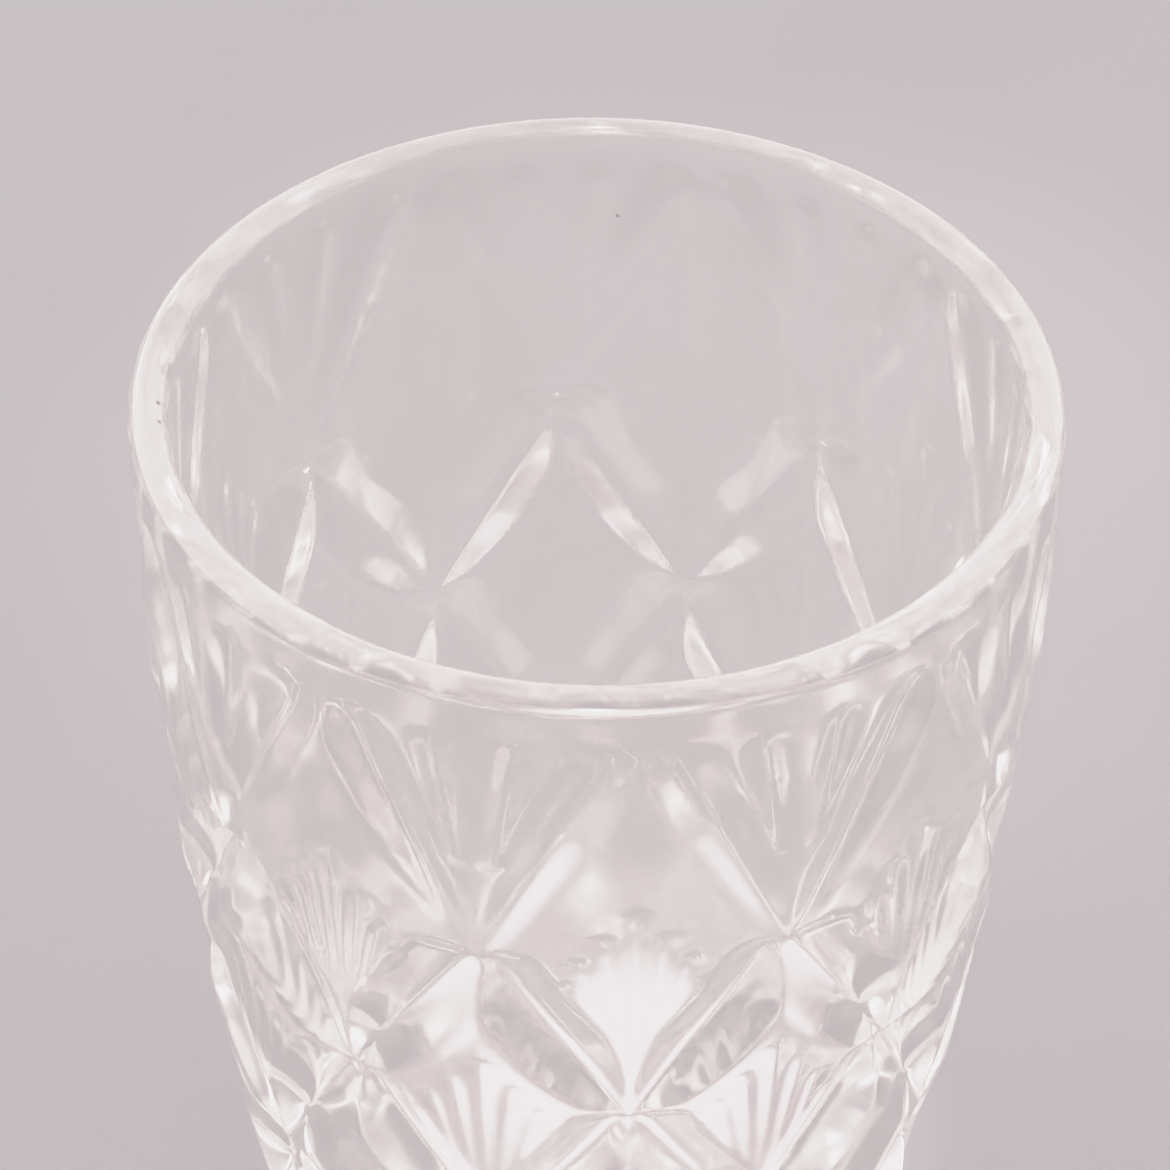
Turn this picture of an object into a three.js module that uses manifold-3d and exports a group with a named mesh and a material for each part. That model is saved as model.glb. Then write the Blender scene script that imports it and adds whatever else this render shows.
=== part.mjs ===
// Pressed glass tumbler: one piece of clear glass, with mitre stars pressed into the
// outside of its wall. Their long rays join into a lattice, and a fan fills each diamond.
// Millimetres, +Z up, foot on z = 0, axis of the tumbler on the Z axis.
import * as THREE from 'three';
import { mergeVertices } from 'three/addons/utils/BufferGeometryUtils.js';
import Module from 'manifold-3d';

// Driving dimensions of the vessel
const HEIGHT = 92;
const MOUTH_DIAMETER = 78;
const FOOT_DIAMETER = 57.6;
const RIM_WALL = 3.4;
const BORE_FLOOR_DIAMETER = 52;
const FLOOR_THICKNESS = 11;
const FLOOR_CORNER_RADIUS = 5;
const HEEL_RADIUS = 1.6;
const HOLLOW_DIAMETER = 40;
const HOLLOW_DEPTH = 1.2;

// Driving dimensions of the star pattern
const STARS_PER_ROW = 9;
const FIRST_ROW_BELOW_RIM = 30;
const ROW_PITCH = 19.8;
const PLAIN_RIM_BAND = 5;
const PLAIN_FOOT_BAND = 4.5;
const LAST_ROW_LEAST_HEIGHT = 14;
const LATTICE_MITRE_ANGLE = 127;
const LATTICE_RAY_WIDTH = 8.6;
const RIM_MITRE_ANGLE = 145;
const RIM_RAY_WIDTH = 5.6;
const RIM_RAY_SPREAD = 11.4;
const TOP_MITRE_ANGLE = 140;
const TOP_RAY_WIDTH = 2.4;
const TOP_RAY_SPREAD = 3.6;
const TOP_RAY_START = 11;
const FAN_MITRE_ANGLE = 146;
const FAN_RAYS = 7;
const FAN_RAY_WIDTH = 2.4;
const FAN_RAY_LENGTH = 26.5;
const FAN_RAY_ANGLE = 6.2;
const FAN_RAY_SHORTER = 2.6;
const FAN_RAY_START = 6;
const LEAST_WALL_BEHIND_CUT = 1.7;

// How finely the round surfaces are cut into flats
const ROUND_SEGMENTS = 36;
const WALL_STEPS = 6;
const ARC_STEPS = 4;

// Points of one surface closer together than this are the same point
const SAME_POINT = 1e-4;

// The cutting wedge stands this far out of the surface, so that it always cuts cleanly
const WEDGE_RISE = 1.2;

const mouthRadius = MOUTH_DIAMETER / 2;
const footRadius = FOOT_DIAMETER / 2;
const boreFloorRadius = BORE_FLOOR_DIAMETER / 2;

// The outside runs straight down at the rim and leans in ever more towards the foot: a parabola
function outerRadius(z) {
  const down = (HEIGHT - z) / HEIGHT;
  return mouthRadius - (mouthRadius - footRadius) * down * down;
}

// The bore is the print of a plain plunger, a parabola that leaves the wall thicker lower down
function boreRadius(z) {
  const down = (HEIGHT - z) / (HEIGHT - FLOOR_THICKNESS);
  return mouthRadius - RIM_WALL - (mouthRadius - RIM_WALL - boreFloorRadius) * down * down;
}

// Points of a round arc, from one angle to another, in degrees
function arcPoints(centreR, centreZ, radius, fromAngle, toAngle) {
  const points = [];
  for (let i = 0; i <= ARC_STEPS; i += 1) {
    const angle = THREE.MathUtils.degToRad(fromAngle + (toAngle - fromAngle) * i / ARC_STEPS);
    points.push(new THREE.Vector2(centreR + radius * Math.cos(angle), centreZ + radius * Math.sin(angle)));
  }
  return points;
}

// Points down or up a wall whose radius is a function of height, ends left out
function wallPoints(radiusAt, fromZ, toZ) {
  const points = [];
  for (let i = 1; i < WALL_STEPS; i += 1) {
    const z = fromZ + (toZ - fromZ) * i / WALL_STEPS;
    points.push(new THREE.Vector2(radiusAt(z), z));
  }
  return points;
}

// The vessel before the pattern: one closed outline from the axis under the foot to the axis in the bore
function vesselGeometry() {
  const lipRadius = RIM_WALL / 2;
  const lipZ = HEIGHT - lipRadius;
  const cornerZ = FLOOR_THICKNESS + FLOOR_CORNER_RADIUS;
  const hollowShares = [0, 0.5, 1];
  const hollow = hollowShares.map((share) => (
    new THREE.Vector2(share * HOLLOW_DIAMETER / 2, HOLLOW_DEPTH * (1 - share * share))
  ));
  const heel = arcPoints(outerRadius(HEEL_RADIUS) - HEEL_RADIUS, HEEL_RADIUS, HEEL_RADIUS, -90, 0);
  const lip = arcPoints(mouthRadius - lipRadius, lipZ, lipRadius, 0, 180);
  const corner = arcPoints(boreRadius(cornerZ) - FLOOR_CORNER_RADIUS, cornerZ, FLOOR_CORNER_RADIUS, 0, -90);
  const outline = [
    ...hollow,
    ...heel,
    ...wallPoints(outerRadius, HEEL_RADIUS, lipZ),
    ...lip,
    ...wallPoints(boreRadius, lipZ, cornerZ),
    ...corner,
    new THREE.Vector2(0, FLOOR_THICKNESS),
  ];
  const geometry = new THREE.LatheGeometry(outline, ROUND_SEGMENTS);
  geometry.rotateX(Math.PI / 2);
  return geometry;
}

// A point of the outside wall and the direction straight out of the glass there
function wallPoint(azimuth, z) {
  const step = 0.01;
  const slope = (outerRadius(z + step) - outerRadius(z - step)) / (2 * step);
  const radius = outerRadius(z);
  return {
    at: new THREE.Vector3(radius * Math.cos(azimuth), radius * Math.sin(azimuth), z),
    out: new THREE.Vector3(Math.cos(azimuth), Math.sin(azimuth), -slope).normalize(),
  };
}

// How deep a mitre of this half width goes, kept off the bore by the least wall
function mitreDepth(halfWidth, halfAngle, z) {
  const room = outerRadius(z) - boreRadius(z) - LEAST_WALL_BEHIND_CUT;
  return Math.min(halfWidth / Math.tan(halfAngle), room);
}

// Outline of a ray: [share of its length, share of its widest]. A finger has a round end at
// the star's centre and narrows away from it, a blade opens out and has a round far end,
// and a flute opens out to a blunt point
const RAY_SHAPES = {
  finger: [[0, 0], [0.05, 0.75], [0.15, 1], [0.55, 1], [1, 0.25]],
  blade: [[0, 0.1], [0.6, 1], [0.88, 1], [1, 0]],
  flute: [[0, 0], [0.85, 1], [1, 0]],
};

// The wedge that cuts one ray: a three-sided bar whose bottom edge is the bottom of the mitre
function rayWedge(from, to, width, shape, mitreAngle) {
  const halfAngle = THREE.MathUtils.degToRad(mitreAngle / 2);
  const lookAhead = 0.01;
  const positions = [];
  const stations = RAY_SHAPES[shape];
  for (const [s, share] of stations) {
    const azimuth = from.azimuth + (to.azimuth - from.azimuth) * s;
    const z = from.z + (to.z - from.z) * s;
    const { at, out } = wallPoint(azimuth, z);
    const ahead = wallPoint(
      azimuth + (to.azimuth - from.azimuth) * lookAhead,
      z + (to.z - from.z) * lookAhead,
    );
    const along = ahead.at.clone().sub(at).normalize();
    const across = new THREE.Vector3().crossVectors(out, along).normalize();
    const depth = mitreDepth(share * width / 2, halfAngle, z);
    const spread = (depth + WEDGE_RISE) * Math.tan(halfAngle);
    const top = at.clone().addScaledVector(out, WEDGE_RISE);
    positions.push(at.clone().addScaledVector(out, -depth));
    positions.push(top.clone().addScaledVector(across, spread));
    positions.push(top.clone().addScaledVector(across, -spread));
  }
  const triangles = [[0, 2, 1]];
  for (let i = 0; i < stations.length - 1; i += 1) {
    for (let side = 0; side < 3; side += 1) {
      const a = 3 * i + side;
      const b = 3 * i + (side + 1) % 3;
      triangles.push([a, b, a + 3], [b, b + 3, a + 3]);
    }
  }
  const last = 3 * (stations.length - 1);
  triangles.push([last, last + 1, last + 2]);
  const geometry = new THREE.BufferGeometry().setFromPoints(positions);
  geometry.setIndex(triangles.flat());
  return geometry;
}

// Every ray of the pattern, as its two ends, its width, its shape and the angle of its mitre
function starRays() {
  const rays = [];
  const azimuthPitch = 2 * Math.PI / STARS_PER_ROW;
  const firstRowZ = HEIGHT - FIRST_ROW_BELOW_RIM;
  const rows = 1 + Math.floor((firstRowZ - LAST_ROW_LEAST_HEIGHT) / ROW_PITCH);
  const fanAngle = THREE.MathUtils.degToRad(FAN_RAY_ANGLE);
  for (let row = 0; row < rows; row += 1) {
    const z = firstRowZ - row * ROW_PITCH;
    const radius = outerRadius(z);
    const shift = (row % 2) / 2;
    for (let star = 0; star < STARS_PER_ROW; star += 1) {
      const centre = { azimuth: (star + shift) * azimuthPitch, z };
      const reach = (across, up) => ({ azimuth: centre.azimuth + across / radius, z: z + up });
      for (const side of [-1, 1]) {
        const below = { azimuth: centre.azimuth + side * azimuthPitch / 2, z: z - ROW_PITCH };
        const share = Math.min(1, (z - PLAIN_FOOT_BAND) / ROW_PITCH);
        const lowEnd = {
          azimuth: centre.azimuth + (below.azimuth - centre.azimuth) * share,
          z: z - ROW_PITCH * share,
        };
        rays.push([centre, lowEnd, LATTICE_RAY_WIDTH, 'finger', LATTICE_MITRE_ANGLE]);
      }
      if (row === 0) {
        const toBand = HEIGHT - PLAIN_RIM_BAND - z;
        const startShare = TOP_RAY_START / toBand;
        for (const side of [-1, 1]) {
          rays.push([centre, reach(side * RIM_RAY_SPREAD, toBand), RIM_RAY_WIDTH, 'blade', RIM_MITRE_ANGLE]);
          const topStart = reach(side * TOP_RAY_SPREAD * startShare, TOP_RAY_START);
          const topEnd = reach(side * TOP_RAY_SPREAD, toBand);
          rays.push([topStart, topEnd, TOP_RAY_WIDTH, 'blade', TOP_MITRE_ANGLE]);
        }
      } else {
        for (let i = 0; i < FAN_RAYS; i += 1) {
          const turn = i - (FAN_RAYS - 1) / 2;
          const sweep = (distance) => reach(
            distance * Math.sin(turn * fanAngle),
            distance * Math.cos(turn * fanAngle),
          );
          const tip = sweep(FAN_RAY_LENGTH - FAN_RAY_SHORTER * Math.abs(turn));
          rays.push([sweep(FAN_RAY_START), tip, FAN_RAY_WIDTH, 'flute', FAN_MITRE_ANGLE]);
        }
      }
    }
  }
  return rays;
}

// Solids for the boolean cut, made from three.js geometry with its triangles joined up
const wasm = await Module();
wasm.setup();

function toSolid(source) {
  const geometry = source.clone();
  geometry.deleteAttribute('normal');
  geometry.deleteAttribute('uv');
  const joined = mergeVertices(geometry, SAME_POINT);
  const index = joined.index.array;
  const kept = [];
  for (let i = 0; i < index.length; i += 3) {
    const [a, b, c] = [index[i], index[i + 1], index[i + 2]];
    if (a !== b && b !== c && c !== a) kept.push(a, b, c);
  }
  return new wasm.Manifold(new wasm.Mesh({
    numProp: 3,
    vertProperties: new Float32Array(joined.attributes.position.array),
    triVerts: new Uint32Array(kept),
  }));
}

function toGeometry(solid) {
  const mesh = solid.getMesh();
  const geometry = new THREE.BufferGeometry();
  geometry.setAttribute('position', new THREE.BufferAttribute(mesh.vertProperties, 3));
  geometry.setIndex(new THREE.BufferAttribute(mesh.triVerts, 1));
  geometry.computeVertexNormals();
  return geometry;
}

function pressedTumbler() {
  const vessel = toSolid(vesselGeometry());
  const wedges = starRays().map((ray) => toSolid(rayWedge(...ray)));
  const pattern = wasm.Manifold.union(wedges);
  return vessel.subtract(pattern);
}

const glass = new THREE.MeshStandardMaterial({ color: 0xe6dfe0, roughness: 0.06, metalness: 0 });
const solid = pressedTumbler();
const tumbler = new THREE.Mesh(toGeometry(solid), glass);
tumbler.name = 'tumbler_body';
console.log('triangles', solid.numTri(), 'glass volume cm3', (solid.volume() / 1000).toFixed(1));

const object = new THREE.Group();
object.name = 'pressed_glass_tumbler';
object.add(tumbler);

export default object;
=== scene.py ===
# %% [markdown]
# # A pressed glass tumbler
# The real thing is one piece of clear glass. A gob of molten glass is dropped into an
# iron mould, and a plunger pushes it up the mould wall, so the bore is smooth and the
# outside carries the mould's pattern of stars. A flame then softens the rim and every
# edge a little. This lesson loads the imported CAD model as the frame, draws the outline
# of the vessel, spins it, presses the stars into the wall, and lights clear glass on a
# pale floor.

# %% Load the frame
import math

import bpy
import numpy as np
from mathutils import Matrix, Vector


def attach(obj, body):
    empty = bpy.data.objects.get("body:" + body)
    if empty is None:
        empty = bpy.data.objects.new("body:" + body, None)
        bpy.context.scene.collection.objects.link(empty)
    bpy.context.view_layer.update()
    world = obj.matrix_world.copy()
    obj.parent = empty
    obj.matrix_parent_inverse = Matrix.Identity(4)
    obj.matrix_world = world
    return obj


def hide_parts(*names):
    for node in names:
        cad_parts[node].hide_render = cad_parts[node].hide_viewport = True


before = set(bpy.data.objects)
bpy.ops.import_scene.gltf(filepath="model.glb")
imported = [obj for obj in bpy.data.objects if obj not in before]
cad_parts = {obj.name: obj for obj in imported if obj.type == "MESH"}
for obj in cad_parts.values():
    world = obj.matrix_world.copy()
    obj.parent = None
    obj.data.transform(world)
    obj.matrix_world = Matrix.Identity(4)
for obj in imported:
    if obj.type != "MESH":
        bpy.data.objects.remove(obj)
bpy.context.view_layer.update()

MM = 0.001


def only_select(*objects):
    """Deselects everything, then selects the given objects and makes the last one active."""
    bpy.ops.object.select_all(action="DESELECT")
    for obj in objects:
        obj.select_set(True)
        bpy.context.view_layer.objects.active = obj


# %% [markdown]
# ## The outline of the vessel
# A lathe-turned mould gives a round vessel, so half of its outline says everything about
# it. It could be a curve with a Screw modifier, but an outline drawn by extruding one
# vertex puts each ring of the wall exactly where the pattern needs it. All sizes are the
# real ones, in millimetres: the wall runs straight down at the rim and leans in ever more
# towards the foot, which is a parabola, and the bore is a flatter parabola, so the wall
# gets thicker on the way down.

# %% Sizes of the vessel
HEIGHT = 92.0
MOUTH_RADIUS = 39.0
FOOT_RADIUS = 28.8
RIM_WALL = 3.4
BORE_FLOOR_RADIUS = 26.0
FLOOR_THICKNESS = 11.0
FLOOR_CORNER_RADIUS = 5.0
HEEL_RADIUS = 1.6
HOLLOW_RADIUS = 20.0
HOLLOW_DEPTH = 1.2


def outer_radius(z):
    """Radius of the outside wall at a height."""
    down = (HEIGHT - z) / HEIGHT
    return MOUTH_RADIUS - (MOUTH_RADIUS - FOOT_RADIUS) * down * down


def bore_radius(z):
    """Radius of the bore at a height."""
    down = (HEIGHT - z) / (HEIGHT - FLOOR_THICKNESS)
    top = MOUTH_RADIUS - RIM_WALL
    return top - (top - BORE_FLOOR_RADIUS) * down * down


print("wall at mid height, mm:", round(outer_radius(HEIGHT / 2) - bore_radius(HEIGHT / 2), 2))

# %% [markdown]
# ## Rings that carry the pattern
# The mould's stars cover the wall from just under the rim to just above the foot, so that
# part of the wall needs rings and columns close enough to draw a groove: 42 rings for one
# row of stars and 42 columns for one star, about half a millimetre apart. A ring falls on
# the middle of every row, so the point where the rays meet is a real vertex. The rim, the
# bore and the foot are plain and get along with far fewer rings.

# %% Rings of the wall, laid out for the star pattern
STARS_PER_ROW = 9
STAR_ROWS = 3
FIRST_ROW_Z = HEIGHT - 30.0
ROW_PITCH = 19.8
PLAIN_RIM_BAND = 5.0
PLAIN_FOOT_BAND = 4.5
PAST_TOP, PAST_BOTTOM = 2.0, 1.5  # how far the rings run on past the ends of the pattern
RINGS_PER_PITCH = 42
COLUMNS = STARS_PER_ROW * RINGS_PER_PITCH
RING_STEP = ROW_PITCH / RINGS_PER_PITCH

rings_up = int((HEIGHT - PLAIN_RIM_BAND + PAST_TOP - FIRST_ROW_Z) / RING_STEP)
rings_down = int((FIRST_ROW_Z - PLAIN_FOOT_BAND + PAST_BOTTOM) / RING_STEP)
wall_rings = [FIRST_ROW_Z + RING_STEP * k for k in range(-rings_down, rings_up + 1)]
print(len(wall_rings), "patterned rings of", COLUMNS, "vertices")


# %% Outline points from the axis under the foot, round the rim, to the axis in the bore
def arc(centre_r, centre_z, radius, from_angle, to_angle, steps):
    """Points (r, z) on a round corner, both ends included."""
    turn = (to_angle - from_angle) / steps
    angles = [math.radians(from_angle + turn * i) for i in range(steps + 1)]
    return [(centre_r + radius * math.cos(a), centre_z + radius * math.sin(a)) for a in angles]


def stretch(radius_at, from_z, to_z, steps):
    """Points (r, z) on a wall between two heights, without the ends."""
    heights = [from_z + (to_z - from_z) * i / steps for i in range(1, steps)]
    return [(radius_at(z), z) for z in heights]


def hollow_height(r):
    """Height of the shallow hollow that is pressed under the foot."""
    return HOLLOW_DEPTH * (1 - (r / HOLLOW_RADIUS) ** 2)


HOLLOW_RINGS = 6
HEEL_RINGS = 6
LIP_RINGS = 14
CORNER_RINGS = 9
BORE_RINGS = 24
FLOOR_SHARES = (0.66, 0.33, 0)  # rings of the inner floor, as shares of its flat radius
FOOT_MIDDLE_RADIUS = 23.5  # one ring halfway across the flat ring that the glass stands on
ABOVE_HEEL_Z = 2.3  # one ring between the heel and the pattern
BELOW_LIP_Z = 89.6  # one ring between the pattern and the lip
lip_radius = RIM_WALL / 2
lip_z = HEIGHT - lip_radius
corner_z = FLOOR_THICKNESS + FLOOR_CORNER_RADIUS
hollow_radii = [HOLLOW_RADIUS * k / HOLLOW_RINGS for k in range(HOLLOW_RINGS + 1)]
hollow = [(r, hollow_height(r)) for r in hollow_radii]
heel_r = outer_radius(HEEL_RADIUS) - HEEL_RADIUS
heel = arc(heel_r, HEEL_RADIUS, HEEL_RADIUS, -90, 0, HEEL_RINGS)
lip = arc(MOUTH_RADIUS - lip_radius, lip_z, lip_radius, 0, 180, LIP_RINGS)
corner_r = bore_radius(corner_z) - FLOOR_CORNER_RADIUS
corner = arc(corner_r, corner_z, FLOOR_CORNER_RADIUS, 0, -90, CORNER_RINGS)
floor_rings = [(corner[-1][0] * share, FLOOR_THICKNESS) for share in FLOOR_SHARES]
outline = hollow + [(FOOT_MIDDLE_RADIUS, 0.0)] + heel
outline += [(outer_radius(ABOVE_HEEL_Z), ABOVE_HEEL_Z)]
outline += [(outer_radius(z), z) for z in wall_rings]
outline += [(outer_radius(BELOW_LIP_Z), BELOW_LIP_Z)] + lip
outline += stretch(bore_radius, lip_z, corner_z, BORE_RINGS) + corner + floor_rings
print("outline points:", len(outline))

# %% Draw the outline: one vertex, extruded from point to point
bpy.ops.object.select_all(action="DESELECT")
bpy.ops.mesh.primitive_plane_add(size=1 * MM, location=(0, 0, outline[0][1] * MM))
tumbler = bpy.context.active_object
tumbler.name = "tumbler_glass"
bpy.ops.object.transform_apply(location=True, rotation=True, scale=True)
bpy.ops.object.mode_set(mode="EDIT")
bpy.ops.mesh.select_all(action="SELECT")
bpy.ops.mesh.merge(type="CENTER")
for (r0, z0), (r1, z1) in zip(outline, outline[1:]):
    step = ((r1 - r0) * MM, 0, (z1 - z0) * MM)
    bpy.ops.mesh.extrude_region_move(TRANSFORM_OT_translate={"value": step})
bpy.ops.mesh.select_all(action="SELECT")
bpy.ops.mesh.spin(steps=COLUMNS, angle=2 * math.pi, center=(0, 0, 0), axis=(0, 0, 1))
bpy.ops.mesh.select_all(action="SELECT")
bpy.ops.mesh.remove_doubles(threshold=0.02 * MM)
bpy.ops.mesh.normals_make_consistent(inside=False)
bpy.ops.object.mode_set(mode="OBJECT")
print("spun vessel:", len(tumbler.data.vertices), "vertices,", len(tumbler.data.polygons), "faces")

# %% [markdown]
# ## Half-step rings
# The long rays of the stars run slantwise, half a column for each ring. When every other
# ring is turned by half a column, the mesh edges lie along those rays in both directions,
# so a mitre's bottom is a clean line and not a staircase.

# %% Turn every other ring by half a column
ON_RING = 0.01  # a vertex this near a ring, in millimetres, belongs to it

points = np.empty(len(tumbler.data.vertices) * 3)
tumbler.data.vertices.foreach_get("co", points)
points = points.reshape(-1, 3) / MM
radius = np.hypot(points[:, 0], points[:, 1])
azimuth = np.arctan2(points[:, 1], points[:, 0])
ring_number = np.rint((points[:, 2] - FIRST_ROW_Z) / RING_STEP).astype(int)
on_outside = np.abs(radius - outer_radius(points[:, 2])) < ON_RING
above_lowest = points[:, 2] > wall_rings[0] - ON_RING
below_highest = points[:, 2] < wall_rings[-1] + ON_RING
in_band = on_outside & above_lowest & below_highest
azimuth[in_band & (ring_number % 2 != 0)] += math.pi / COLUMNS
print("vertices in the patterned band:", int(in_band.sum()))

# %% [markdown]
# ## The stars
# Each ray of a star is a mitre cut: a V-shaped groove that is deepest where it is widest.
# A long finger is wide at its own star and narrows towards the next one, a blade widens
# on its way to the rim, and the flutes of a fan open outwards. The real mould was cut with
# a grinding wheel, ray by ray, and the deepest cut wins where rays cross. The same rule is
# used here: every vertex of the wall is pushed in by a smooth maximum over all rays, which
# also rounds the edges as the flame does.

# %% Sizes of the stars
# The long rays that join star to star into a lattice
LATTICE_RAY_WIDTH = 8.6
LATTICE_MITRE_ANGLE = math.radians(127)
LATTICE_VALLEY = 0.5
# From the top row, two wide rays run up to the plain band under the rim
RIM_RAY_WIDTH = 5.6
RIM_RAY_SPREAD = 11.4
RIM_MITRE_ANGLE = math.radians(145)
RIM_VALLEY = 0.7
# Between those, two thin rays start some way above the star
TOP_RAY_WIDTH = 2.4
TOP_RAY_SPREAD = 3.6
TOP_RAY_START = 11.0
TOP_MITRE_ANGLE = math.radians(140)
TOP_VALLEY = 0.6
# A fan of flutes stands on every lower star and fills the diamond above it
FAN_RAYS = 7
FAN_RAY_WIDTH = 2.4
FAN_RAY_LENGTH = 26.5
FAN_RAY_SHORTER = 2.6
FAN_RAY_START = 6.0
FAN_RAY_ANGLE = math.radians(6.2)
FAN_MITRE_ANGLE = math.radians(146)
FAN_VALLEY = 0.35
# Shares of a ray's length: where a blade is at its widest, where a finger starts to narrow,
# and how much of the end is rounded
BLADE_FULL_AT = 0.6
FINGER_NARROWS_AT = 0.55
ROUND_END = 0.15
# Shares of a ray's width that are left at a blade's root and lost at a finger's tip
BLADE_ROOT = 0.1
FINGER_LOSS = 0.75
# How far the flame has rounded the edges between ray and wall
EDGE_SOFTNESS = 0.18

azimuth_pitch = 2 * math.pi / STARS_PER_ROW


def star_rays():
    """Each ray as (start azimuth, start z, end azimuth, end z, width, shape, mitre, valley)."""
    lattice = (LATTICE_RAY_WIDTH, "finger", LATTICE_MITRE_ANGLE, LATTICE_VALLEY)
    to_rim = (RIM_RAY_WIDTH, "blade", RIM_MITRE_ANGLE, RIM_VALLEY)
    thin = (TOP_RAY_WIDTH, "blade", TOP_MITRE_ANGLE, TOP_VALLEY)
    fan = (FAN_RAY_WIDTH, "flute", FAN_MITRE_ANGLE, FAN_VALLEY)
    rays = []
    for row in range(STAR_ROWS):
        z = FIRST_ROW_Z - row * ROW_PITCH
        around = outer_radius(z)
        for star in range(-2, 3):
            centre = (star + (row % 2) / 2) * azimuth_pitch

            def ray(across, up, kind, start=(0.0, 0.0)):
                rays.append((centre + start[0] / around, z + start[1],
                             centre + across / around, z + up, *kind))

            for side in (-1, 1):
                share = min(1.0, (z - PLAIN_FOOT_BAND) / ROW_PITCH)
                ray(side * azimuth_pitch / 2 * share * around, -ROW_PITCH * share, lattice)
                if row == 0:
                    to_band = HEIGHT - PLAIN_RIM_BAND - z
                    ray(side * RIM_RAY_SPREAD, to_band, to_rim)
                    aside = side * TOP_RAY_SPREAD * TOP_RAY_START / to_band
                    ray(side * TOP_RAY_SPREAD, to_band, thin, (aside, TOP_RAY_START))
            if row > 0:
                for turn in range(-(FAN_RAYS // 2), FAN_RAYS // 2 + 1):
                    reach = FAN_RAY_LENGTH - FAN_RAY_SHORTER * abs(turn)
                    way = (math.sin(turn * FAN_RAY_ANGLE), math.cos(turn * FAN_RAY_ANGLE))
                    start = (FAN_RAY_START * way[0], FAN_RAY_START * way[1])
                    ray(reach * way[0], reach * way[1], fan, start)
    return rays


rays = star_rays()
print(len(rays), "rays over one sector of the wall")


# %% Depth of the pattern at any place of the wall
SLOPE_STEP = 0.01  # millimetres up and down, over which the lean of the wall is measured


def half_width(share, shape):
    """Half the width of a ray, as a share of its widest, along its length from 0 to 1."""
    along = np.clip(share, 0, 1)
    round_start = 1 - ROUND_END
    if shape == "finger":
        into_root = np.clip(ROUND_END - along, 0, 1) / ROUND_END
        into_tip = np.clip(along - FINGER_NARROWS_AT, 0, 1) / (1 - FINGER_NARROWS_AT)
        return np.sqrt(np.clip(1 - into_root ** 2, 0, 1)) * (1 - FINGER_LOSS * into_tip ** 1.5)
    into_end = np.clip(along - round_start, 0, 1) / ROUND_END
    round_end = np.sqrt(np.clip(1 - into_end ** 2, 0, 1))
    if shape == "blade":
        return (BLADE_ROOT + (1 - BLADE_ROOT) * np.clip(along / BLADE_FULL_AT, 0, 1)) * round_end
    return np.minimum(along / round_start, 1) * round_end


def pattern_depth(az, z):
    """How deep the pattern is pressed at places of the wall, in millimetres."""
    az = (az + azimuth_pitch / 2) % azimuth_pitch - azimuth_pitch / 2
    total = np.ones_like(z)
    for az0, z0, az1, z1, width, shape, mitre, valley in rays:
        around = outer_radius((z0 + z1) / 2)
        line = np.array([(az1 - az0) * around, z1 - z0])
        length = float(np.hypot(*line))
        u = (az - az0) * around
        v = z - z0
        share = (u * line[0] + v * line[1]) / length ** 2
        off = (u * line[1] - v * line[0]) / length
        past = np.maximum(0, np.maximum(-share, share - 1)) * length
        blunt = np.sqrt(off ** 2 + valley ** 2) - 0.5 * valley  # rounds the bottom of the V
        depth = (half_width(share, shape) * width / 2 - blunt - past) / math.tan(mitre / 2)
        total += np.exp(np.clip(depth / EDGE_SOFTNESS, -60, 60))  # the clip stops an overflow
    return EDGE_SOFTNESS * np.log(total)


def wall_surface(az, z):
    """Places on the pressed outside wall, in millimetres."""
    lean = (outer_radius(z + SLOPE_STEP) - outer_radius(z - SLOPE_STEP)) / (2 * SLOPE_STEP)
    out = 1 / np.sqrt(1 + lean ** 2)
    depth = pattern_depth(az, z)
    r = outer_radius(z) - depth * out
    return np.stack([r * np.cos(az), r * np.sin(az), z + depth * lean * out], axis=-1)


# %% [markdown]
# ## Pressing the wall
# The plunger pushes the soft glass against the iron. Here every vertex of the patterned
# band moves straight into the glass, by the depth that the stars have there. Sculpting or
# a displacement picture could do the same, but the rule keeps every groove as sharp and
# as regular as the mould. Shading that is averaged from face to face would blur a groove
# only a few faces wide, so the direction of the surface comes from the same rule.

# %% Press the pattern into the wall
band_az = azimuth[in_band]
band_z = points[in_band, 2]
pressed = points.copy()
pressed[:, 0] = radius * np.cos(azimuth)
pressed[:, 1] = radius * np.sin(azimuth)
pressed[in_band] = wall_surface(band_az, band_z)
tumbler.data.vertices.foreach_set("co", (pressed * MM).ravel())
tumbler.data.update()
depth_now = pattern_depth(band_az, band_z)
print("deepest cut, mm:", round(float(depth_now.max()), 2))

# %% Split the slanting faces along the rays and shade the glass smooth
only_select(tumbler)
bpy.ops.object.mode_set(mode="EDIT")
bpy.ops.mesh.select_all(action="SELECT")
bpy.ops.mesh.quads_convert_to_tris(quad_method="SHORTEST_DIAGONAL", ngon_method="BEAUTY")
bpy.ops.object.mode_set(mode="OBJECT")
bpy.ops.object.shade_smooth()
NORMAL_STEP = 0.05  # millimetres to each side, over which the slope of the wall is measured
step_az, step_z = NORMAL_STEP / MOUTH_RADIUS, NORMAL_STEP
across = wall_surface(band_az + step_az, band_z) - wall_surface(band_az - step_az, band_z)
upward = wall_surface(band_az, band_z + step_z) - wall_surface(band_az, band_z - step_z)
outward = np.cross(across, upward)
outward /= np.linalg.norm(outward, axis=1)[:, None]
normals = np.empty(len(points) * 3)
tumbler.data.vertex_normals.foreach_get("vector", normals)
normals = normals.reshape(-1, 3)
normals[in_band] = outward
tumbler.data.normals_split_custom_set_from_vertices(normals.tolist())
print("triangles:", len(tumbler.data.polygons))

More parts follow.
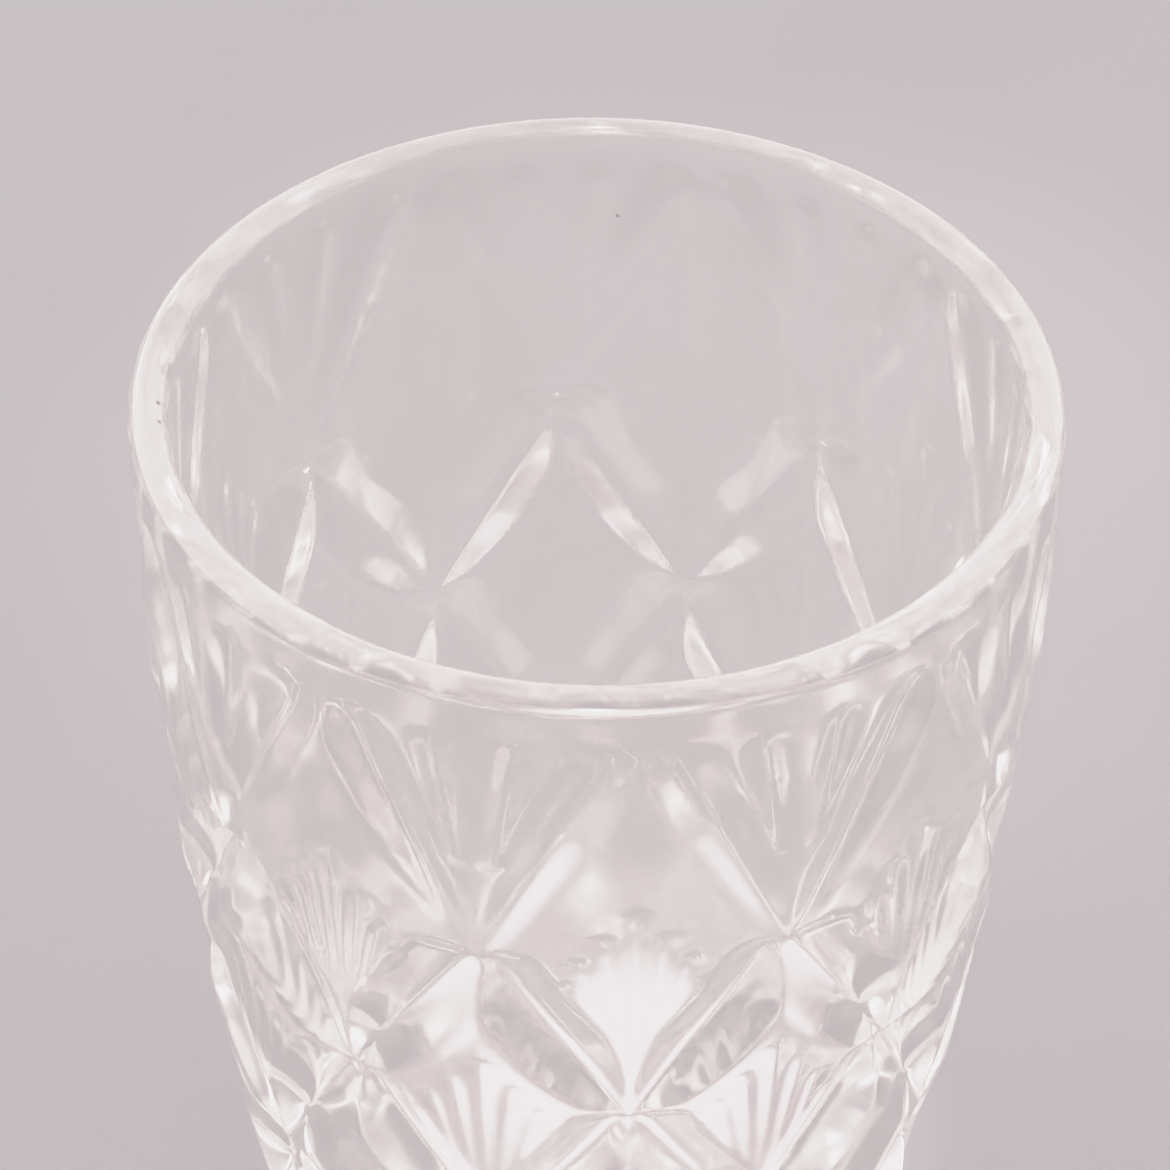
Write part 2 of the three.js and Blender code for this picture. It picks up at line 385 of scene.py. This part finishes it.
# %% [markdown]
# ## Clear glass
# Clear pressed glass has almost no colour of its own. The flame has melted its skin
# shiny, but the iron of the mould was never mirror smooth, so the skin keeps a slow
# waviness and is a little glossier here and duller there. A few specks of scale from the
# mould sit in it. All of that varies over the surface, so it is made once as a node group
# in object space, where a centimetre on the glass is a centimetre in the texture. The
# amounts that are the same everywhere stay on the shader's own sockets.

# %% Helpers for nodes
def new_group(name, outputs):
    """A shader node group with the given outputs, as (its tree, its output node)."""
    tree = bpy.data.node_groups.new(name, "ShaderNodeTree")
    for socket_name, socket_type in outputs:
        tree.interface.new_socket(name=socket_name, in_out="OUTPUT", socket_type=socket_type)
    return tree, tree.nodes.new("NodeGroupOutput")


def noise(tree, coordinates, scale, detail):
    """Soft noise from 0 to 1, with as many bumps in a metre as the scale says."""
    node = tree.nodes.new("ShaderNodeTexNoise")
    node.inputs["Scale"].default_value = scale
    node.inputs["Detail"].default_value = detail
    tree.links.new(coordinates, node.inputs["Vector"])
    return node.outputs[0]


def remap(tree, value, from_low, from_high, to_low, to_high, kind="LINEAR"):
    """Stretches a value from one range to another and clamps it there."""
    node = tree.nodes.new("ShaderNodeMapRange")
    node.interpolation_type = kind
    ends = {"From Min": from_low, "From Max": from_high, "To Min": to_low, "To Max": to_high}
    for socket, number in ends.items():
        node.inputs[socket].default_value = number
    tree.links.new(value, node.inputs["Value"])
    return node.outputs["Result"]


def combine(tree, operation, first, second):
    """One sum, product or the like of two values; a plain number may stand for either."""
    node = tree.nodes.new("ShaderNodeMath")
    node.operation = operation
    for socket, value in zip(node.inputs, (first, second)):
        if isinstance(value, (int, float)):
            socket.default_value = value
        else:
            tree.links.new(value, socket)
    return node.outputs[0]


def blend(tree, factor, first, second):
    """Blends from the first colour to the second; each is a colour or a socket."""
    node = tree.nodes.new("ShaderNodeMix")
    node.data_type = "RGBA"
    tree.links.new(factor, node.inputs[0])
    for socket, value in zip((node.inputs[6], node.inputs[7]), (first, second)):
        if isinstance(value, tuple):
            socket.default_value = value
        else:
            tree.links.new(value, socket)
    return node.outputs[2]


# %% Node group: the skin that the mould and the flame leave
WAVES_PER_M = 95
RIPPLES_PER_M = 330
RIPPLE_SHARE = 0.18
DULL_PATCHES_PER_M = 60
SHINY_ROUGHNESS = 0.085
DULL_ROUGHNESS = 0.13
CLEAR_TINT = (1.0, 0.995, 0.99, 1)
FAINT_TINT = (0.985, 0.97, 0.967, 1)
SPECK_TONE = (0.2, 0.16, 0.14, 1)
SPECK_RADIUS_M = 0.00016
# Specks of mould scale: azimuth in degrees from +X, height in mm, distance from the axis in mm
SPECKS = ((167.9, 91.7, 36.4), (171.8, 91.7, 36.4), (71.7, 83.0, 35.3))

skin_outputs = (("Tint", "NodeSocketColor"), ("Roughness", "NodeSocketFloat"),
                ("Height", "NodeSocketFloat"))
skin, skin_out = new_group("mould_skin", skin_outputs)
skin_place = skin.nodes.new("ShaderNodeTexCoord").outputs["Object"]
waves = noise(skin, skin_place, WAVES_PER_M, 1.0)
ripples = noise(skin, skin_place, RIPPLES_PER_M, 2.0)
height = combine(skin, "ADD", waves, combine(skin, "MULTIPLY", ripples, RIPPLE_SHARE))
skin.links.new(height, skin_out.inputs["Height"])
patches = noise(skin, skin_place, DULL_PATCHES_PER_M, 4.0)
roughness = remap(skin, patches, 0.3, 0.7, SHINY_ROUGHNESS, DULL_ROUGHNESS)
skin.links.new(roughness, skin_out.inputs["Roughness"])
speck_mask = None
for degrees, z_mm, r_mm in SPECKS:
    turn = math.radians(degrees)
    centre = (r_mm * math.cos(turn) * MM, r_mm * math.sin(turn) * MM, z_mm * MM)
    away = skin.nodes.new("ShaderNodeVectorMath")
    away.operation = "DISTANCE"
    away.inputs[1].default_value = centre
    skin.links.new(skin_place, away.inputs[0])
    one_speck = remap(skin, away.outputs["Value"], SPECK_RADIUS_M, 2 * SPECK_RADIUS_M,
                      1.0, 0.0, "SMOOTHSTEP")
    speck_mask = one_speck if speck_mask is None else combine(skin, "MAXIMUM", speck_mask, one_speck)
glass_tint = blend(skin, remap(skin, waves, 0.35, 0.65, 0.0, 1.0), CLEAR_TINT, FAINT_TINT)
skin.links.new(blend(skin, speck_mask, glass_tint, SPECK_TONE), skin_out.inputs["Tint"])
print("skin group:", len(skin.nodes), "nodes")

# %% [markdown]
# ## Light through the glass
# A path tracer rarely finds the way that light takes through a thick foot on to the paper,
# so under real glass it would draw a dark shadow that isn't there. A Light Path node swaps
# the glass for a clear pane when the floor looks for its light. The camera still sees the
# real refraction, and the lamps below stand in for the light that the foot gathers.

# %% Glass material, from the skin and the clear pane
WAVE_HEIGHT_M = 0.00005
PANE_TINT = (0.97, 0.965, 0.965, 1)

glass = bpy.data.materials.new("clear_pressed_glass")
glass.use_nodes = True
nodes, links = glass.node_tree.nodes, glass.node_tree.links
shader = nodes["Principled BSDF"]
shader.inputs["IOR"].default_value = 1.5
shader.inputs["Transmission Weight"].default_value = 1.0
skin_node = nodes.new("ShaderNodeGroup")
skin_node.node_tree = skin
bump = nodes.new("ShaderNodeBump")
bump.inputs["Distance"].default_value = WAVE_HEIGHT_M
links.new(skin_node.outputs["Height"], bump.inputs["Height"])
links.new(skin_node.outputs["Tint"], shader.inputs["Base Color"])
links.new(skin_node.outputs["Roughness"], shader.inputs["Roughness"])
links.new(bump.outputs["Normal"], shader.inputs["Normal"])
path = nodes.new("ShaderNodeLightPath")
floor_ray = nodes.new("ShaderNodeMath")
floor_ray.operation = "MAXIMUM"
links.new(path.outputs["Is Shadow Ray"], floor_ray.inputs[0])
links.new(path.outputs["Is Diffuse Ray"], floor_ray.inputs[1])
pass_light = nodes.new("ShaderNodeBsdfTransparent")
pass_light.inputs["Color"].default_value = PANE_TINT
either = nodes.new("ShaderNodeMixShader")
links.new(floor_ray.outputs[0], either.inputs[0])
links.new(shader.outputs[0], either.inputs[1])
links.new(pass_light.outputs[0], either.inputs[2])
links.new(either.outputs[0], nodes["Material Output"].inputs["Surface"])
tumbler.data.materials.append(glass)
print("glass material:", len(nodes), "nodes")

# %% [markdown]
# ## The pale floor
# The tumbler stands on plain pale paper. Paper is never one flat tone: its fibres are
# faintly mottled. Towards the front the sheet is also painted a little darker, a painted
# shade that stands in for the soft shadow there. Both are made in the floor's own object
# space, with a fine grain that also lifts the surface a hair.

# %% Node group: paper
CLOUDS_PER_M = 14
FIBRES_PER_M = 1400
CLOUD_SHARE = 0.75
# painted shade: the paper is painted darker towards the front, standing in for a soft shadow
FRONT_SHADE_FROM_M, FRONT_SHADE_TO_M = -0.03, 0.06  # the sheet darkens between these, measured to the front
VIEW_TURN = math.radians(-15.84)  # the photo looks at the tumbler turned by this round its axis
PALE = (0.302, 0.302, 0.320, 1)
DEEPER = (0.289, 0.284, 0.302, 1)
# painted shade: the darker paper colour that is blended in towards the front
FRONT_PAINTED_SHADE = (0.283, 0.274, 0.294, 1)

sheet, sheet_out = new_group("pale_paper", (("Tone", "NodeSocketColor"), ("Height", "NodeSocketFloat")))
sheet_place = sheet.nodes.new("ShaderNodeTexCoord").outputs["Object"]
clouds = noise(sheet, sheet_place, CLOUDS_PER_M, 3.0)
fibres = noise(sheet, sheet_place, FIBRES_PER_M, 3.0)
cloud_part = remap(sheet, clouds, 0.35, 0.65, 0.0, CLOUD_SHARE)
fibre_part = remap(sheet, fibres, 0.3, 0.7, 0.0, 1 - CLOUD_SHARE)
mottle = combine(sheet, "ADD", cloud_part, fibre_part)
to_front = sheet.nodes.new("ShaderNodeVectorMath")
to_front.operation = "DOT_PRODUCT"
to_front.inputs[1].default_value = (math.sin(VIEW_TURN), -math.cos(VIEW_TURN), 0)
sheet.links.new(sheet_place, to_front.inputs[0])
# painted shade: how far towards the front the paper is painted darker, as if a soft shadow fell there
front_shade_share = remap(sheet, to_front.outputs["Value"], FRONT_SHADE_FROM_M, FRONT_SHADE_TO_M, 0.0, 1.0, "SMOOTHSTEP")
paper_tone = blend(sheet, mottle, PALE, DEEPER)
sheet.links.new(blend(sheet, front_shade_share, paper_tone, FRONT_PAINTED_SHADE), sheet_out.inputs["Tone"])
sheet.links.new(fibres, sheet_out.inputs["Height"])
print("paper group:", len(sheet.nodes), "nodes")

# %% Floor
FLOOR_SIZE_M = 3.0
GRAIN_HEIGHT_M = 0.00002

bpy.ops.object.select_all(action="DESELECT")
bpy.ops.mesh.primitive_plane_add(size=FLOOR_SIZE_M, location=(0, 0, 0))
floor = bpy.context.active_object
floor.name = "floor"
paper = bpy.data.materials.new("pale_paper_floor")
paper.use_nodes = True
paper_nodes, paper_links = paper.node_tree.nodes, paper.node_tree.links
paper_shader = paper_nodes["Principled BSDF"]
paper_shader.inputs["Roughness"].default_value = 0.9
paper_shader.inputs["Specular IOR Level"].default_value = 0.1
sheet_node = paper_nodes.new("ShaderNodeGroup")
sheet_node.node_tree = sheet
grain = paper_nodes.new("ShaderNodeBump")
grain.inputs["Strength"].default_value = 0.3
grain.inputs["Distance"].default_value = GRAIN_HEIGHT_M
paper_links.new(sheet_node.outputs["Tone"], paper_shader.inputs["Base Color"])
paper_links.new(sheet_node.outputs["Height"], grain.inputs["Height"])
paper_links.new(grain.outputs["Normal"], paper_shader.inputs["Normal"])
floor.data.materials.append(paper)
print("floor of", [round(v, 2) for v in floor.dimensions], "metres")

# %% [markdown]
# ## Soft studio light
# Clear glass shows what is around it. On the photo it is grey where it looks at the paper
# and white where it looks at something bright, so a bright white room on all sides gives
# the pale rim and the white streaks. The side where the camera stands is dimmer, which
# keeps the broad facets of the grooves grey. Three lamps straight above stand in for light
# that the real foot and wall gather on the paper. A narrow one lights the middle of the
# foot, seen as white fans through the front wall, a wider and weaker one lifts the paper
# under the whole glass, and a wide soft one evens the paper behind it.

# %% World
DOME = (1.06, 0.975, 0.94)
FRONT_SKY, LEFT_SKY, RIGHT_SKY = 0.33, 1.4, 1.2  # brightness of each side, as a share of the dome
SKY_STRENGTH = 2.0

world = bpy.data.worlds.new("studio")
bpy.context.scene.world = world
world.use_nodes = True
sky_nodes, sky_links = world.node_tree.nodes, world.node_tree.links
sky = sky_nodes["Background"]
sky.inputs["Strength"].default_value = SKY_STRENGTH
sky_way = sky_nodes.new("ShaderNodeTexCoord").outputs["Generated"]


def sky_share(direction, least, most):
    """How far a sky direction leans towards the given one: 0 below least and 1 above most."""
    dot = sky_nodes.new("ShaderNodeVectorMath")
    dot.operation = "DOT_PRODUCT"
    dot.inputs[1].default_value = direction
    sky_links.new(sky_way, dot.inputs[0])
    return remap(world.node_tree, dot.outputs["Value"], least, most, 0.0, 1.0, "SMOOTHSTEP")


front = (math.sin(VIEW_TURN), -math.cos(VIEW_TURN), 0)
right_hand = (math.cos(VIEW_TURN), math.sin(VIEW_TURN), 0)
left_hand = (-right_hand[0], -right_hand[1], 0)
# each side's direction, its brightness, and how far the sky must lean to it to start and to be full
sides = ((left_hand, LEFT_SKY, 0.3, 0.9), (right_hand, RIGHT_SKY, 0.3, 0.9), (front, FRONT_SKY, 0.1, 0.7))
sky_tone = DOME + (1,)
for side, brightness, least, most in sides:
    side_tone = tuple(c * brightness for c in DOME) + (1,)
    sky_tone = blend(world.node_tree, sky_share(side, least, most), sky_tone, side_tone)
sky_links.new(sky_tone, sky.inputs["Color"])
print("sky:", len(sky_nodes), "nodes")

# %% Lamps
LAMP_HEIGHT_M = 1.5
LAMP_RADIUS_M = 0.002


def lamp_above(name, energy, colour, radius_mm, right_mm, behind_mm, soft_share):
    """A spot straight above that lights one disc of paper, placed as the photo's viewer sees it."""
    lamp = bpy.data.lights.new(name, "SPOT")
    lamp.energy = energy
    lamp.color = colour
    lamp.spot_size = 2 * math.atan(radius_mm * MM / LAMP_HEIGHT_M)
    lamp.spot_blend = soft_share
    lamp.shadow_soft_size = LAMP_RADIUS_M
    lamp_object = bpy.data.objects.new(name, lamp)
    bpy.context.scene.collection.objects.link(lamp_object)
    over = (Vector(right_hand) * right_mm - Vector(front) * behind_mm) * MM
    lamp_object.location = over + Vector((0, 0, LAMP_HEIGHT_M))
    print(name, "lights", radius_mm, "mm around", [round(c, 4) for c in over[:2]])


# watts, colour, radius of the disc, its place right of the axis and behind it, soft share of the edge
lamp_above("light_gathered_by_the_base", 140, (1.0, 0.92, 0.89), 17, 4, 5, 0.4)
lamp_above("light_under_the_wall", 32, (1.0, 0.94, 0.92), 34, 2, 4, 0.5)
lamp_above("light_spread_behind_the_wall", 16, (1.0, 0.95, 0.93), 78, 10, 98, 0.8)

# %% [markdown]
# ## The camera
# The photo looks down into the mouth with a long lens. Its place was found by matching the
# ellipse of the rim, the outline of the wall and the centres of the nearest stars. The
# mouth's centre is the point that the distance and the elevation are measured from.

# %% Camera
FRAME_PIXELS = 1170
FOCAL_PIXELS = 6000
SENSOR_MM = 36.0
CAMERA_DISTANCE_MM = 497.9
CAMERA_ELEVATION = math.radians(39.08)
CAMERA_PITCH = math.radians(40.95)
CAMERA_YAW = math.radians(-0.12)
CAMERA_ROLL = math.radians(0.84)

lens = bpy.data.cameras.new("photo_camera")
lens.sensor_width = SENSOR_MM
lens.lens = SENSOR_MM * FOCAL_PIXELS / FRAME_PIXELS
lens.clip_start = 0.01
lens.clip_end = 10
camera = bpy.data.objects.new("photo_camera", lens)
bpy.context.scene.collection.objects.link(camera)
bpy.context.scene.camera = camera
turn = Matrix.Rotation(VIEW_TURN, 3, "Z")
place = Vector((0, -math.cos(CAMERA_ELEVATION), math.sin(CAMERA_ELEVATION))) * CAMERA_DISTANCE_MM * MM
ahead = Vector((math.sin(CAMERA_YAW) * math.cos(CAMERA_PITCH),
                math.cos(CAMERA_YAW) * math.cos(CAMERA_PITCH), -math.sin(CAMERA_PITCH)))
right = ahead.cross(Vector((0, 0, 1))).normalized()
up = right.cross(ahead)
rolled_right = right * math.cos(CAMERA_ROLL) + up * math.sin(CAMERA_ROLL)
rolled_up = up * math.cos(CAMERA_ROLL) - right * math.sin(CAMERA_ROLL)
facing = Matrix((rolled_right, rolled_up, -ahead)).transposed()
eye = turn @ place + Vector((0, 0, HEIGHT * MM))
camera.matrix_world = Matrix.Translation(eye) @ (turn @ facing).to_4x4()
print("camera at", [round(c, 3) for c in eye])

# %% [markdown]
# ## Tone
# White glass on pale paper fills only the upper part of a photo's tones. The curve leaves
# the greys nearly as they are and bends the brightest values over gently, so the white
# streaks stay creamy and don't burn out. Light may cross many glass surfaces in a row, so
# many bounces are followed.

# %% Render look
TONE_POINTS = ((0.0, 0.02), (0.55, 0.555), (0.85, 0.80), (1.4, 0.89), (4.0, 0.95))
GLASS_BOUNCES = 32

scene = bpy.context.scene
scene.view_settings.view_transform = "Standard"
scene.view_settings.use_curve_mapping = True
tone = scene.view_settings.curve_mapping
tone.clip_max_x = TONE_POINTS[-1][0]
tone_points = tone.curves[3].points
tone_points[0].location = TONE_POINTS[0]
tone_points[1].location = TONE_POINTS[-1]
for x, y in TONE_POINTS[1:-1]:
    tone_points.new(x, y)
tone.update()
scene.cycles.max_bounces = GLASS_BOUNCES
scene.cycles.transmission_bounces = GLASS_BOUNCES
scene.cycles.glossy_bounces = GLASS_BOUNCES
print("tone curve:", [tuple(round(c, 3) for c in point.location) for point in tone_points])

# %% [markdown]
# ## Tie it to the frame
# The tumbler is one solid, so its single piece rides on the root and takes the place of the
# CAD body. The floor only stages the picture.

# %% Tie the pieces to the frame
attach(tumbler, "root")
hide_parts("tumbler_body")
print("tied to the frame:", tumbler.name)
